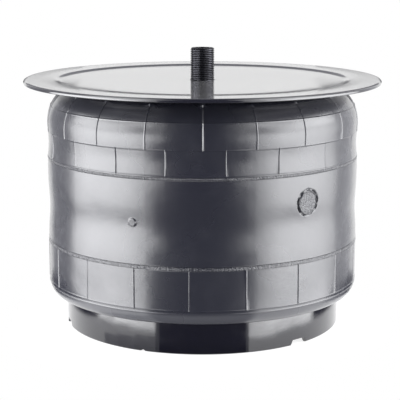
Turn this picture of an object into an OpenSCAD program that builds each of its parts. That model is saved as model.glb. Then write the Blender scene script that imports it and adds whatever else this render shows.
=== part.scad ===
// Air suspension bellows: a rolling-lobe rubber sleeve between a flange plate
// with a hollow mounting stud and a drawn steel piston.
// Millimetres, +Z up, origin on the axis in the plane of the piston's foot.

/* [Flange plate] */
// Outer diameter of the flange plate
plate_d = 300; // [284:1:320]
// Thickness of the plate's sheet steel
plate_t = 3; // [2:0.25:3.5]
// Height of the plate's outer ring above the piston's foot
plate_z = 206.8; // [196:0.2:230]
// Diameter of the flat recessed disc
recess_d = 224; // [218:1:232]
// Depth of the recess below the outer ring
recess_depth = 1.8; // [1:0.1:2.5]
// Width of the pressed step round the recess
step_w = 6; // [4:0.5:8]
// Width over which the plate still rises gently outside the step
crown_w = 15; // [8:1:17]
// Height of that gentle rise
crown_h = 0.5; // [0.2:0.1:0.8]
// Width over which the plate's edge rolls down
edge_roll_w = 6; // [4:0.5:8]
// Height that the plate's edge rolls down
edge_roll_h = 1.5; // [0.6:0.1:1.6]

/* [Mounting stud] */
// Thread diameter of the mounting stud
stud_d = 20; // [18:0.5:22]
// Length of the stud above the recessed disc
stud_len = 27; // [24:0.2:40]
// Diameter of the stud's plain shoulder where it passes through the plate
stud_shoulder_d = 21.2; // [20:0.2:23]
// Diameter of the welded head under the plate
stud_head_d = 44; // [36:1:46]
// Thickness of the welded head
stud_head_t = 5; // [3:0.5:7]
// Tapping diameter of the air port in the stud's end
port_d = 10.5; // [8.5:0.5:12.5]
// Depth of the air port
port_depth = 15; // [10:0.5:18]
// Diameter of the air passage below the port
passage_d = 7; // [5:0.5:8]
// Chamfer at the stud's end and at the mouth of the port
stud_chamfer = 1; // [0.5:0.1:1.5]

/* [Plate reinforcement] */
// Diameter of the backing plate that meets the bump stop
backing_d = 112; // [100:1:130]
// Thickness of the backing plate
backing_t = 3; // [2:0.5:4]

/* [Bellows sleeve] */
// Width of the rolling lobe, from the piston to the sleeve's outer face
lobe_w = 14.2; // [12.5:0.1:15.5]
// Thickness of the rubber and fabric wall
sleeve_t = 3.2; // [2.4:0.1:3.8]
// Height at which the wall turns into the shoulder
shoulder_z = 172; // [168:1:180]
// Depth of the shallow neck below the shoulder
neck_depth = 1.1; // [0:0.1:1.6]
// Height of the neck's middle
neck_z = 155; // [150:1:160]
// Depth of the shallow waist in the middle of the wall
waist_depth = 0.95; // [0:0.05:1.6]
// Height of the waist's middle
waist_z = 104; // [98:1:112]
// Half width of the neck and of the waist
dip_w = 11; // [8:0.5:13]
// Height of the rolling lobe's lowest point
lobe_z = 27.2; // [25.2:0.2:32]
// Height of the lobe's rounded part
lobe_h = 11.6; // [9:0.2:14]
// Height that the moulded rings stand proud
ring_h = 0.55; // [0.3:0.05:0.8]
// Half width of a moulded ring
ring_w = 0.9; // [0.85:0.05:1.2]

/* [Upper bead] */
// Inner diameter of the upper bead
upper_bead_d = 192; // [186:1:196]
// Width of the upper bead
upper_bead_w = 11.5; // [10.5:0.5:12.5]
// Height of the upper bead
upper_bead_h = 14.8; // [13:0.2:18]
// Diameter of the wire core in the upper bead
upper_core_d = 7; // [5:0.5:7]
// Distance from the upper bead's inner face to the crown of the shoulder
bead_crown_w = 8; // [7:0.5:9]
// Straight height of the seat ring above its flared lip
seat_wall_h = 12; // [11:0.2:13]
// Thickness of the steel ring that the upper bead snaps over
seat_ring_t = 3; // [2:0.5:3.5]

/* [Piston] */
// Outer diameter of the piston
piston_d = 233; // [226:1:238]
// Wall thickness of the drawn piston shell
shell_t = 3; // [2:0.5:4]
// Height of the piston's shoulder above its foot
piston_h = 100; // [96:1:104]
// Corner radius of the piston's shoulder
piston_corner_r = 14; // [10:0.5:18]
// Width of the piston's shoulder round the seat that carries the lower bead
shoulder_w = 36.5; // [34:0.5:40]
// Height of the seat above the piston's shoulder
seat_h = 14; // [13:0.5:16]
// Width of a drain notch in the foot's rim
notch_w = 15; // [8:0.5:20]
// Height of a drain notch
notch_h = 4; // [2:0.5:6]
// Radius that rounds the foot's rim
foot_round = 0.8; // [0.4:0.1:1.2]

/* [Lower bead] */
// Width of the lower bead
lower_bead_w = 11.2; // [10:0.2:13]
// Height of the lower bead
lower_bead_h = 13.4; // [11:0.2:14]
// Diameter of the wire core in the lower bead
lower_core_d = 6.4; // [4:0.2:6.4]

/* [Piston base] */
// Height of the base plate's underside above the foot
base_z = 8; // [6:0.5:12]
// Thickness of the pressed base plate
base_t = 4; // [3:0.5:5]
// Height of the base plate's upturned rim
base_rim_h = 12; // [8:0.5:18]
// Outer diameter of the centre tube
tube_d = 40; // [38:0.5:48]
// Wall thickness of the centre tube
tube_t = 4; // [3:0.25:4.5]
// Diameter of the mounting bush's foot
bush_foot_d = 52; // [48:1:70]
// Length of the mounting bush
bush_len = 42; // [36:1:50]
// Tapping diameter of the mounting thread
mount_thread_d = 14; // [12:0.25:16]
// Depth of the mounting thread
mount_thread_depth = 32; // [24:1:34]

/* [Bump stop] */
// Diameter of the bump stop at its base
stop_d = 92; // [84:1:100]
// Diameter of the bump stop at its top
stop_top_d = 78; // [70:1:82]
// Diameter of the well in the bump stop
stop_well_d = 50; // [48:0.5:54]
// Depth of the groove round the bump stop's waist
stop_groove = 3; // [0:0.5:5]
// Thickness of the bump stop's steel plate
stop_plate_t = 4; // [3.5:0.5:6]
// Travel of the flange plate from rest to the bump stop
bump_travel = 45; // [35:1:45]

/* [Centre bolt] */
// Thread diameter of the centre bolt
bolt_d = 12; // [10:0.5:14]
// Length of the bolt below its head
bolt_len = 35; // [32:1:40]
// Width across the flats of the bolt's head
bolt_af = 19; // [17:1:22]
// Height of the bolt's head
bolt_head_h = 7.5; // [6:0.5:9]
// Diameter of the flat washer
washer_d = 34; // [28:1:44]
// Thickness of the flat washer
washer_t = 3; // [2:0.25:4]
// Thickness of the lock washer
lock_washer_t = 2.6; // [2:0.2:3]
// Length of the threaded insert in the centre tube
insert_len = 23; // [20:1:28]
// Section diameter of the seal ring
seal_section_d = 2.2; // [1.8:0.1:2.6]

/* [Fits] */
// Gap between rubber and the steel that it sits on
seat_gap = 0.3; // [0.2:0.05:0.4]
// Radial gap of a welded or bolted joint between round pieces
joint_gap = 0.3; // [0.2:0.05:0.4]
// Radial gap of the bolt in its thread
thread_gap = 0.05; // [0.02:0.01:0.1]

/* [Hidden] */
$fn = 96;

// Flange plate and stud, worked out from the plate's ring down to the stud's head
ring_under_z = plate_z - plate_t;
disc_z = plate_z - recess_depth;
disc_under_z = disc_z - plate_t;
stud_top_z = disc_z + stud_len;
backing_z = disc_under_z - backing_t;
stud_head_z = backing_z - stud_head_t;
stud_hole_r = stud_shoulder_d / 2 + joint_gap;
edge_corner = 0.4;

// Chamfer that breaks a sheared or turned edge, and how far a cut runs past the face it opens
edge_break = 1;
over = 1;

// Upper bead and the ring that it snaps over
upper_bead_r = upper_bead_d / 2;
upper_bead_z = disc_under_z - seat_gap;
upper_bead_out_r = upper_bead_r + upper_bead_w;
seat_ring_r = upper_bead_r - seat_gap;
seat_ring_flange_w = 12;
seat_ring_bend = 1;
seat_ring_lip = 3.8;
seat_ring_lip_z = disc_under_z - seat_wall_h;
bead_chamfer = 1.5;
bead_toe = 3.3;
bead_heel = 4;
core_offset = 0.2;
shoulder_r = upper_bead_r + bead_crown_w;
upper_core_r = upper_bead_r + upper_bead_w / 2 - 2 * core_offset;
upper_core_z = upper_bead_z - upper_bead_h / 2 + core_offset;

// Sleeve wall and lobe
piston_r = piston_d / 2;
leg_r = piston_r + seat_gap;
sleeve_r = leg_r + lobe_w;
lobe_mid_z = lobe_z + lobe_h;
lobe_r = leg_r + lobe_w / 2;
lobe_a = lobe_w / 2;
wall_step = 5;

// Piston
piston_corner_z = piston_h - piston_corner_r;
piston_corner_x = piston_r - piston_corner_r;
seat_r = piston_r - shoulder_w;
seat_top_z = piston_h + seat_h;
seat_under_z = seat_top_z - shell_t;
brim_r = piston_corner_x - 1.5 * shell_t;
seat_corner_r = 3;
shell_in_r = piston_r - shell_t;
notch_angles = [42, 163, -75];
notch_slope = 1;
base_top_z = base_z + base_t;
bush_r = tube_d / 2 - tube_t - joint_gap;

// Lower bead on its seat
lower_bead_r = seat_r + seat_gap;
lower_bead_z = piston_h + seat_gap;
lower_bead_top = lower_bead_z + lower_bead_h;
lower_bead_out_r = lower_bead_r + lower_bead_w;
lower_bead_round = 3;
lower_bead_toe = 2;
lower_core_r = lower_bead_r + lower_bead_w / 2 + core_offset;
lower_core_z = lower_bead_z + lower_bead_h / 2 - core_offset;

// Bump stop stack on the seat plate
stop_plate_z = seat_top_z;
stop_z = stop_plate_z + stop_plate_t;
stop_top_z = backing_z - bump_travel - seat_gap;
washer_z = stop_z;
lock_washer_z = washer_z + washer_t;
bolt_head_z = lock_washer_z + lock_washer_t;
bolt_clearance = 0.75;
bolt_hole_r = bolt_d / 2 + bolt_clearance;
insert_z = seat_under_z - insert_len;
seal_inset = 4.5;
seal_r = bolt_hole_r + seal_inset;
seal_groove_w = seal_section_d + 1;
seal_groove_h = seal_section_d + 0.15;
stop_edge = 4;
stop_groove_h = 10;
well_flare = 2;
lock_washer_split = 1;
lock_washer_slant = 35;

// Heights of the moulded rings, from the shoulder down to the lobe
ring_zs = [185.5, 165, 145.2, 142.6, 74.2, 71.6, 39.4, 36.7];

// Points along an elliptical arc in the r-z plane
function arc(r, z, a, b, from, to, n = 12) =
    [for (i = [0:n]) let (t = from + (to - from) * i / n) [r + a * cos(t), z + b * sin(t)]];

// Depth of a smooth dip in the wall at height z
function dip(z, mid, depth) = depth * exp(-pow((z - mid) / dip_w, 2));

// Outer radius of the sleeve's wall at height z
function wall_r(z) = sleeve_r - dip(z, neck_z, neck_depth) - dip(z, waist_z, waist_depth);

// Points up the wall between the lobe and the shoulder, moved in by a distance
function wall_points(inset) =
    [for (z = [lobe_mid_z + wall_step : wall_step : shoulder_z - wall_step / 2])
        [wall_r(z) - inset, z]];

function reversed(list) = [for (i = [len(list) - 1 : -1 : 0]) list[i]];

// Shoulder ellipse: half width and half height of the outer surface
shoulder_a = wall_r(shoulder_z) - shoulder_r;
shoulder_b = upper_bead_z - shoulder_z;

// Outer radius of the sleeve at height z, on the lobe, the wall or the shoulder
function sleeve_surface_r(z) =
    z > shoulder_z ? shoulder_r + shoulder_a * cos(asin((z - shoulder_z) / shoulder_b)) :
    z < lobe_mid_z ? lobe_r + lobe_a * cos(asin((lobe_mid_z - z) / lobe_h)) :
    wall_r(z);

// Angle on the inner shoulder ellipse where it meets the bead
heel_angle = acos((upper_bead_out_r + edge_break - shoulder_r) / (shoulder_a - sleeve_t));

// Rising curve of the pressed step, and the gentle rise from it to the flat ring
function step_points(z0, n = 8) = concat(
    [for (i = [0:n - 1])
        [recess_d / 2 + step_w * i / n, z0 + (recess_depth - crown_h) * (1 - cos(180 * i / n)) / 2]],
    [for (i = [0:n])
        [recess_d / 2 + step_w + crown_w * i / n, z0 + recess_depth - crown_h * pow(1 - i / n, 2)]]);

module top_plate() {
    edge_r = plate_d / 2;
    top = concat(
        [[stud_hole_r, disc_z]],
        step_points(disc_z),
        arc(edge_r - edge_roll_w, plate_z - edge_roll_h, edge_roll_w, edge_roll_h, 90, 0, 8),
        [[edge_r, ring_under_z + edge_corner], [edge_r - edge_corner, ring_under_z]]);
    under = concat(reversed(step_points(disc_under_z)), [[stud_hole_r, disc_under_z]]);
    color("dimgray") rotate_extrude() polygon(concat(top, under));
}

// Turned stud with its welded head, the air port in its end and the passage below
module threaded_stud() {
    r = stud_d / 2;
    shoulder = stud_shoulder_d / 2;
    color("black") difference() {
        rotate_extrude() polygon([
            [0, stud_head_z], [stud_head_d / 2 - edge_break, stud_head_z],
            [stud_head_d / 2, stud_head_z + edge_break], [stud_head_d / 2, backing_z],
            [shoulder, backing_z], [shoulder, disc_z],
            [r, disc_z], [r, stud_top_z - stud_chamfer],
            [r - stud_chamfer, stud_top_z], [0, stud_top_z]]);
        translate([0, 0, stud_head_z - over]) cylinder(d = passage_d, h = stud_top_z - stud_head_z);
        translate([0, 0, stud_top_z - port_depth]) cylinder(d = port_d, h = port_depth + over);
        translate([0, 0, stud_top_z - stud_chamfer])
            cylinder(d1 = port_d, d2 = port_d + 4 * stud_chamfer, h = 2 * stud_chamfer);
    }
}

module backing_plate() {
    color("gray") rotate_extrude() polygon([
        [stud_hole_r, backing_z], [backing_d / 2 - edge_break, backing_z],
        [backing_d / 2, backing_z + edge_break], [backing_d / 2, disc_under_z],
        [stud_hole_r, disc_under_z]]);
}

// Pressed ring with a flange against the plate and a flared lip that holds the bead
module upper_seat_ring() {
    out_r = seat_ring_r;
    in_r = out_r - seat_ring_t;
    bend = seat_ring_bend;
    lean = seat_ring_t * (sqrt(2) - 1);
    color("gray") rotate_extrude() polygon(concat(
        [[out_r - seat_ring_flange_w, disc_under_z]],
        arc(out_r - bend, disc_under_z - bend, bend, bend, 90, 0, 4),
        [[out_r, seat_ring_lip_z], [out_r + seat_ring_lip, seat_ring_lip_z - seat_ring_lip],
         [out_r + seat_ring_lip - seat_ring_t / sqrt(2),
          seat_ring_lip_z - seat_ring_lip - seat_ring_t / sqrt(2)],
         [in_r, seat_ring_lip_z - lean]],
        arc(in_r - bend, disc_under_z - seat_ring_t - bend, bend, bend, 0, 90, 4),
        [[out_r - seat_ring_flange_w, disc_under_z - seat_ring_t]]));
}

module bead_core(r, z, d) {
    color("silver") rotate_extrude() translate([r, z]) circle(d = d, $fn = 32);
}

module upper_bead_core() {
    bead_core(upper_core_r, upper_core_z, upper_core_d);
}

module lower_bead_core() {
    bead_core(lower_core_r, lower_core_z, lower_core_d);
}

// Closed outline of the sleeve from the upper bead round the lobe to the lower bead
module sleeve_outline() {
    heel_z = upper_bead_z - upper_bead_h;
    corner_in = piston_corner_r + seat_gap;
    corner_out = corner_in + sleeve_t;
    toe_z = seat_ring_lip_z + seat_gap * (sqrt(2) - 1);
    polygon(concat(
        [[upper_bead_r + bead_chamfer, upper_bead_z]],
        arc(shoulder_r, shoulder_z, shoulder_a, shoulder_b, 90, 0, 16),
        reversed(wall_points(0)),
        arc(lobe_r, lobe_mid_z, lobe_a, lobe_h, 0, -180, 18),
        arc(piston_corner_x, piston_corner_z, corner_in, corner_in, 0, 90, 8),
        [[lower_bead_r, lower_bead_z], [lower_bead_r, lower_bead_top - lower_bead_toe],
         [lower_bead_r + lower_bead_toe, lower_bead_top],
         [lower_bead_out_r - lower_bead_round, lower_bead_top],
         [lower_bead_out_r, lower_bead_top - lower_bead_round],
         [lower_bead_out_r + edge_break, lower_bead_z + sleeve_t]],
        arc(piston_corner_x, piston_corner_z, corner_out, corner_out, 90, 0, 8),
        arc(lobe_r, lobe_mid_z, lobe_a - sleeve_t, lobe_h - sleeve_t, 180, 360, 14),
        wall_points(sleeve_t),
        arc(shoulder_r, shoulder_z, shoulder_a - sleeve_t, shoulder_b - sleeve_t, 0, heel_angle, 12),
        [[upper_bead_out_r, heel_z + bead_heel], [upper_bead_out_r - bead_heel, heel_z],
         [upper_bead_r + bead_toe, toe_z - bead_toe], [upper_bead_r, toe_z],
         [upper_bead_r, upper_bead_z - bead_chamfer]]));
}

// Moulded ring that stands proud of the surface at radius r and height z
module moulded_ring(r, z) {
    rotate_extrude() translate([r + ring_h - ring_w, z]) circle(r = ring_w, $fn = 24);
}

module bellows_sleeve() {
    color([0.23, 0.23, 0.25]) difference() {
        union() {
            rotate_extrude() sleeve_outline();
            for (z = ring_zs) moulded_ring(sleeve_surface_r(z), z);
        }
        rotate_extrude() translate([upper_core_r, upper_core_z])
            circle(d = upper_core_d + 2 * seat_gap, $fn = 32);
        rotate_extrude() translate([lower_core_r, lower_core_z])
            circle(d = lower_core_d + 2 * seat_gap, $fn = 32);
    }
}

// Drawn cup, open at the foot, with drain notches in its rim
module piston_shell() {
    color([0.12, 0.12, 0.13]) difference() {
        rotate_extrude() polygon(concat(
            arc(piston_r - foot_round, foot_round, foot_round, foot_round, -90, 0, 4),
            arc(piston_corner_x, piston_corner_z, piston_corner_r, piston_corner_r, 0, 90, 10),
            [[seat_r + joint_gap, piston_h], [seat_r + joint_gap, piston_h - shell_t]],
            arc(piston_corner_x, piston_corner_z, piston_corner_r - shell_t,
                piston_corner_r - shell_t, 90, 0, 10),
            [[shell_in_r, 0]]));
        for (a = notch_angles)
            rotate([0, 0, a - 90]) translate([piston_r, 0, 0]) rotate([90, 0, -90])
                translate([0, 0, -shell_t]) linear_extrude(3 * shell_t)
                    polygon([[-notch_w / 2 - notch_slope, -over], [notch_w / 2 + notch_slope, -over],
                             [notch_w / 2 - notch_slope, notch_h],
                             [-notch_w / 2 + notch_slope, notch_h]]);
    }
}

// Drawn cap welded under the shell's shoulder; its wall is the lower bead's seat
module piston_seat_plate() {
    brim_z = piston_h - shell_t;
    in_r = seat_r - shell_t;
    color([0.12, 0.12, 0.13]) rotate_extrude() polygon(concat(
        [[bolt_hole_r, seat_under_z], [in_r, seat_under_z], [in_r, brim_z - shell_t],
         [brim_r, brim_z - shell_t], [brim_r, brim_z], [seat_r, brim_z]],
        arc(seat_r - seat_corner_r, seat_top_z - seat_corner_r, seat_corner_r, seat_corner_r, 0, 90, 6),
        [[bolt_hole_r, seat_top_z]]));
}

// Pressed plate with an upturned rim, set back from the foot
module piston_base_plate() {
    out_r = shell_in_r - joint_gap;
    hole_r = bush_r + joint_gap;
    color([0.12, 0.12, 0.13]) rotate_extrude() polygon(concat(
        [[hole_r, base_z]],
        arc(out_r - base_t, base_z + base_t, base_t, base_t, -90, 0, 6),
        [[out_r, base_z + base_rim_h], [out_r - base_t, base_z + base_rim_h],
         [out_r - base_t, base_top_z + edge_break], [out_r - base_t - edge_break, base_top_z],
         [hole_r, base_top_z]]));
}

module centre_tube() {
    color("gray") translate([0, 0, base_top_z]) difference() {
        cylinder(d = tube_d, h = seat_under_z - base_top_z);
        translate([0, 0, -over])
            cylinder(r = tube_d / 2 - tube_t, h = seat_under_z - base_top_z + 2 * over);
    }
}

module tube_insert() {
    color("silver") translate([0, 0, insert_z]) difference() {
        cylinder(r = bush_r, h = insert_len);
        translate([0, 0, -over]) cylinder(r = bolt_d / 2 + thread_gap, h = insert_len + 2 * over);
    }
}

// Threaded bush whose foot stands in the plane of the piston's rim
module mounting_bush() {
    color("silver") difference() {
        union() {
            cylinder(r = bush_r, h = bush_len);
            cylinder(d = bush_foot_d, h = base_z);
        }
        translate([0, 0, -over]) cylinder(d = mount_thread_d, h = mount_thread_depth + over);
        translate([0, 0, -over])
            cylinder(d1 = mount_thread_d + 4 * over, d2 = mount_thread_d, h = 2 * over);
    }
}

// Rubber buffer with a well for the stud's head and a groove round its waist
module bump_stop() {
    base_r = stop_d / 2;
    top_r = stop_top_d / 2;
    mid_z = (stop_z + stop_top_z) / 2;
    mid_r = (base_r + top_r) / 2;
    well_r = stop_well_d / 2;
    color([0.1, 0.1, 0.1]) rotate_extrude() polygon(concat(
        [[well_r, stop_z], [base_r, stop_z], [base_r, stop_z + stop_edge]],
        arc(mid_r, mid_z, -stop_groove, stop_groove_h / 2, -90, 90, 10),
        arc(top_r - stop_edge, stop_top_z - stop_edge, stop_edge, stop_edge, 0, 90, 6),
        [[well_r + well_flare, stop_top_z], [well_r, stop_top_z - well_flare]]));
}

module bump_stop_plate() {
    color("gray") difference() {
        translate([0, 0, stop_plate_z]) cylinder(d = stop_d, h = stop_plate_t);
        translate([0, 0, stop_plate_z - over]) cylinder(r = bolt_hole_r, h = stop_plate_t + 2 * over);
        translate([0, 0, stop_plate_z - over]) difference() {
            cylinder(r = seal_r + seal_groove_w / 2, h = seal_groove_h + over);
            translate([0, 0, -over])
                cylinder(r = seal_r - seal_groove_w / 2, h = seal_groove_h + 3 * over);
        }
    }
}

module seal_ring() {
    color("black") rotate_extrude()
        translate([seal_r, stop_plate_z + seal_groove_h / 2]) circle(d = seal_section_d, $fn = 24);
}

module flat_washer() {
    color("silver") translate([0, 0, washer_z]) difference() {
        cylinder(d = washer_d, h = washer_t);
        translate([0, 0, -over]) cylinder(r = bolt_hole_r, h = washer_t + 2 * over);
    }
}

// Split spring washer, shown pressed flat by the bolt
module lock_washer() {
    color("silver") translate([0, 0, lock_washer_z]) difference() {
        cylinder(d = bolt_af / cos(30), h = lock_washer_t);
        translate([0, 0, -over]) cylinder(r = bolt_d / 2 + joint_gap, h = lock_washer_t + 2 * over);
        translate([bolt_af / 2, 0, lock_washer_t / 2]) rotate([lock_washer_slant, 0, 0])
            cube([bolt_af, lock_washer_split, 4 * lock_washer_t], center = true);
    }
}

module centre_bolt() {
    color("silver") union() {
        translate([0, 0, bolt_head_z - bolt_len]) cylinder(d = bolt_d, h = bolt_len);
        translate([0, 0, bolt_head_z]) intersection() {
            cylinder(d = bolt_af / cos(30), h = bolt_head_h, $fn = 6);
            cylinder(d1 = bolt_af + 3 * bolt_head_h, d2 = bolt_af, h = bolt_head_h);
        }
    }
}

top_plate();
threaded_stud();
backing_plate();
upper_seat_ring();
upper_bead_core();
bellows_sleeve();
lower_bead_core();
piston_shell();
piston_seat_plate();
piston_base_plate();
centre_tube();
tube_insert();
mounting_bush();
bump_stop();
bump_stop_plate();
seal_ring();
flat_washer();
lock_washer();
centre_bolt();
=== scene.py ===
"""Looks of the air suspension bellows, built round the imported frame.

Azimuths are degrees from the front, positive to the right. Lengths are metres in the studio and in
the materials, and millimetres in the shapes.
"""
import math

import bpy
import numpy as np
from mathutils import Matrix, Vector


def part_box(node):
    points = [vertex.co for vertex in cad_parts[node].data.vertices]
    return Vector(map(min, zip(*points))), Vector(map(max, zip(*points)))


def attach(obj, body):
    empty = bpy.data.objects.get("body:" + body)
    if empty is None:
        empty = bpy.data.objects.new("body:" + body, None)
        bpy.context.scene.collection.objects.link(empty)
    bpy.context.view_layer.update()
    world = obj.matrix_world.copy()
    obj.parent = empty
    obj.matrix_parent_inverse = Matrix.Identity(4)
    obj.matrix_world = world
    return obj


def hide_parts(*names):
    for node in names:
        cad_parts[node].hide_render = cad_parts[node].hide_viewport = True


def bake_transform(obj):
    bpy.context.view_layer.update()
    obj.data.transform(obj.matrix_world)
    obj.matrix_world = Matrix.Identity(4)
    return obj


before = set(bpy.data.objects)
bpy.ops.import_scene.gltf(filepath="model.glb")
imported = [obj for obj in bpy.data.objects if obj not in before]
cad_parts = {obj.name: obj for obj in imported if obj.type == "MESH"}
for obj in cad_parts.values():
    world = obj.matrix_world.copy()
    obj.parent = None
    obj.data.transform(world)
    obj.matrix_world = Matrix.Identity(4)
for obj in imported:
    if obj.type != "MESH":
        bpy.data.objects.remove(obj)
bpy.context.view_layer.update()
scene = bpy.context.scene
MM = 0.001
FULL_TURN = 360


def node_size(node):
    """(outer radius, lowest height, highest height) of a round CAD node, in millimetres."""
    low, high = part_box(node)
    return high.x / MM, low.z / MM, high.z / MM


def new_node(tree, kind, inputs=None):
    """New shader node; each of its inputs, by name or number, gets a value or another's output."""
    node = tree.nodes.new(kind)
    for key, value in (inputs or {}).items():
        if isinstance(value, bpy.types.NodeSocket):
            tree.links.new(value, node.inputs[key])
        else:
            node.inputs[key].default_value = value
    return node


# Camera and studio

# The photograph's view, fitted to the plate's and the piston's ellipses
CAMERA_PLACE = (-0.002, -1.1556, 0.3294)
CAMERA_DOWN = 11.151
SENSOR_MM = 36.0
LENS_MM = 123.59

WHITE = (1, 1, 1, 1)
AMBIENT = 0.3
# The photograph's light is slightly blue: the lamps' colour, and how much bluer a grey screen is
LAMP_COLOR = (0.975, 0.98, 1.0)
BLUE_CAST = 0.015
DARK = 0.04

# Rows of upright panels round the object: name, lowest and highest edge, and (azimuth, radiance)
PANEL_TURN = 4.5
PANEL_DISTANCE = 2.5
PANEL_ROWS = (
    ("outer_light", -0.6, 0.45, ((-108, 1.7), (-100, 3.1), (-90, 4.5), (-76, 5.15))),
    ("left_light", -0.66, 0.45, ((-76, 5.15), (-62, 5.05), (-52, 4.4), (-42, 2.9), (-34, 1.35),
                                 (-27, 0))),
    ("right_light", -0.66, 0.45, ((29, 0.4), (38, 1.2), (47, 2.75), (57, 4.4), (80, 3.95),
                                  (90, 3.4), (100, 2.4), (112, 0.9))),
    ("left_shoulder_light", 0.5, 1.3, ((-112, 2.2), (-100, 3.6), (-85, 4.5), (-70, 4), (-60, 3),
                                       (-48, 1))),
    ("right_shoulder_light", 0.5, 1.3, ((48, 1), (60, 2.8), (72, 4), (85, 4.4), (100, 3.8),
                                        (112, 2.2))),
)
# Single panels: name, azimuths of the ends, distance, lowest and highest edge, and radiance.
# The low ones stand outside the floor's edge and below it, for the lobe and the piston.
SOFTBOXES = (
    ("left_high_light", -95, -40, PANEL_DISTANCE, 1.3, 4.2, 2.2),
    ("right_high_light", 40, 95, PANEL_DISTANCE, 1.3, 4.2, 2.2),
    ("left_low_light", -80, -27, 0.30, -0.075, -0.015, 2.0),
    ("right_low_light", 29, 87, 0.30, -0.075, -0.015, 1.65),
)
# Curved screens: name, azimuths of the ends, distance, lowest and highest edge, and shade.
# Those in front and beside make the dark parts of the sleeve's and the piston's reflections,
# and the plate reflects the white between those behind.
FLAGS = (
    ("front_flag", -27, 24, 2.2, -1.6, 3.0, DARK),
    ("left_flag", -146, -108, 2.4, -1.6, 3.0, 0.42),
    ("right_flag", 112, 142, 2.4, -1.6, 3.0, 0.85),
    ("back_card", 175.5, 184.5, 6.0, -0.3, 0.68, DARK),
    ("left_back_card", 184.5, 200, 6.0, -0.3, 0.70, 0.35),
    ("right_back_card", 160, 175.5, 6.0, -0.3, 0.70, 0.35),
    ("left_ring_card", 185.8, 200, 6.1, -0.3, 0.81, 0.55),
    ("right_ring_card", 160, 174.3, 6.1, -0.3, 0.81, 0.6),
    ("high_card", 150, 210, 2.0, 0.55, 2.3, 0.24),
    ("left_low_flag", -130, -81, 0.30, -0.09, -0.012, 0.05),
    ("right_low_flag", 88, 130, 0.30, -0.09, -0.012, 0.05),
)
FLAG_POINTS = 25
# Dark wedges on the floor, which only the paint reflects: azimuths of the ends near the object,
# how far they reach, and shade. Each spreads to a multiple of its azimuths, as reflections do.
FLOOR_CARDS = (
    (-43, -36, 0.030, 1.04),
    (-36, -28, 0.036, 0.92),
    (-28, -18.8, 0.042, 0.78),
    (-18.8, -17.2, 0.8, 0.4),
    (-17.2, 17.3, 0.8, 0.08),
    (17.3, 18.4, 0.8, 0.45),
)
CARD_POINTS = 13
CARD_SPREAD = 2.1
CARD_NEAR = 0.117
CARD_Z = 0.0004
# Distance of the floor's edge by azimuth; the paint's reflections of the floor end there
FLOOR_EDGE = (
    (-180, 0.160), (-110, 0.157), (-86, 0.158), (-75, 0.161), (-64, 0.174), (-48, 0.180),
    (-33, 0.178), (-10, 0.168), (30, 0.155), (50, 0.163), (77, 0.157), (110, 0.157), (180, 0.160),
)
FLOOR_TURN = 3.0
FLOOR_INSET = 0.1
FLOOR_FADE = 0.008
FLOOR_Z = -0.0002
FLOOR_SHADE = 0.5
FLOOR_GLOW = 0.83


def make_camera():
    """The photograph's view, which is level from side to side and looks slightly down."""
    data = bpy.data.cameras.new("camera")
    data.sensor_width = SENSOR_MM
    data.lens = LENS_MM
    camera = bpy.data.objects.new("camera", data)
    camera.location = CAMERA_PLACE
    camera.rotation_euler = (math.radians(90 - CAMERA_DOWN), 0, 0)
    scene.collection.objects.link(camera)
    scene.camera = camera


def softbox(name, start, end, distance, bottom, top, radiance):
    """Upright panel light that faces the axis, between two azimuths."""
    width = 2 * distance * math.tan(math.radians(end - start) / 2)
    height = top - bottom
    data = bpy.data.lights.new(name, "AREA")
    data.shape = "RECTANGLE"
    data.size = width
    data.size_y = height
    data.energy = radiance * math.pi * width * height
    data.color = LAMP_COLOR
    light = bpy.data.objects.new(name, data)
    turn = math.radians((start + end) / 2)
    light.location = (distance * math.sin(turn), -distance * math.cos(turn), (bottom + top) / 2)
    light.rotation_euler = (math.radians(90), 0, turn)
    light.visible_camera = False
    scene.collection.objects.link(light)


def panel_row(name, bottom, top, points):
    """Row of panels whose radiance follows (azimuth, radiance) points, so reflections fade."""
    azimuths, radiances = zip(*points)
    first, last = azimuths[0], azimuths[-1]
    edges = np.linspace(first, last, round((last - first) / PANEL_TURN) + 1)
    for number, (start, end) in enumerate(zip(edges, edges[1:])):
        radiance = float(np.interp((start + end) / 2, azimuths, radiances))
        softbox(f"{name}_{number}", start, end, PANEL_DISTANCE, bottom, top, radiance)


def round_axis(azimuths, distance, height):
    """Points at one distance and height, one at each azimuth."""
    return [(distance * math.sin(t), -distance * math.cos(t), height) for t in np.radians(azimuths)]


def screen_between(name, low, high, shade):
    """Matt screen between two rows of points, which keeps white out of the reflections."""
    count = len(low)
    mesh = bpy.data.meshes.new(name)
    faces = [(i, i + 1, count + i + 1, count + i) for i in range(count - 1)]
    mesh.from_pydata(low + high, [], faces)
    screen = bpy.data.objects.new(name, mesh)
    scene.collection.objects.link(screen)
    material = bpy.data.materials.new(name)
    material.use_nodes = True
    shader = material.node_tree.nodes["Principled BSDF"]
    shader.inputs["Base Color"].default_value = (shade, shade, shade + BLUE_CAST, 1)
    shader.inputs["Roughness"].default_value = 1.0
    shader.inputs["Specular IOR Level"].default_value = 0.0
    mesh.materials.append(material)
    screen.visible_camera = False
    return screen


def flag(name, start, end, distance, bottom, top, shade):
    """Upright curved screen from one azimuth to another."""
    turns = np.linspace(start, end, FLAG_POINTS)
    low, high = (round_axis(turns, distance, height) for height in (bottom, top))
    screen_between(name, low, high, shade)


def ceiling_flag():
    """Level dark screen over the object, which keeps white out of the rim's front."""
    half_width, front, back, height = 0.6, -2.2, 2.0, 2.7
    low, high = ([(x, y, height) for x in (-half_width, half_width)] for y in (front, back))
    screen_between("ceiling_flag", low, high, DARK)


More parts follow.
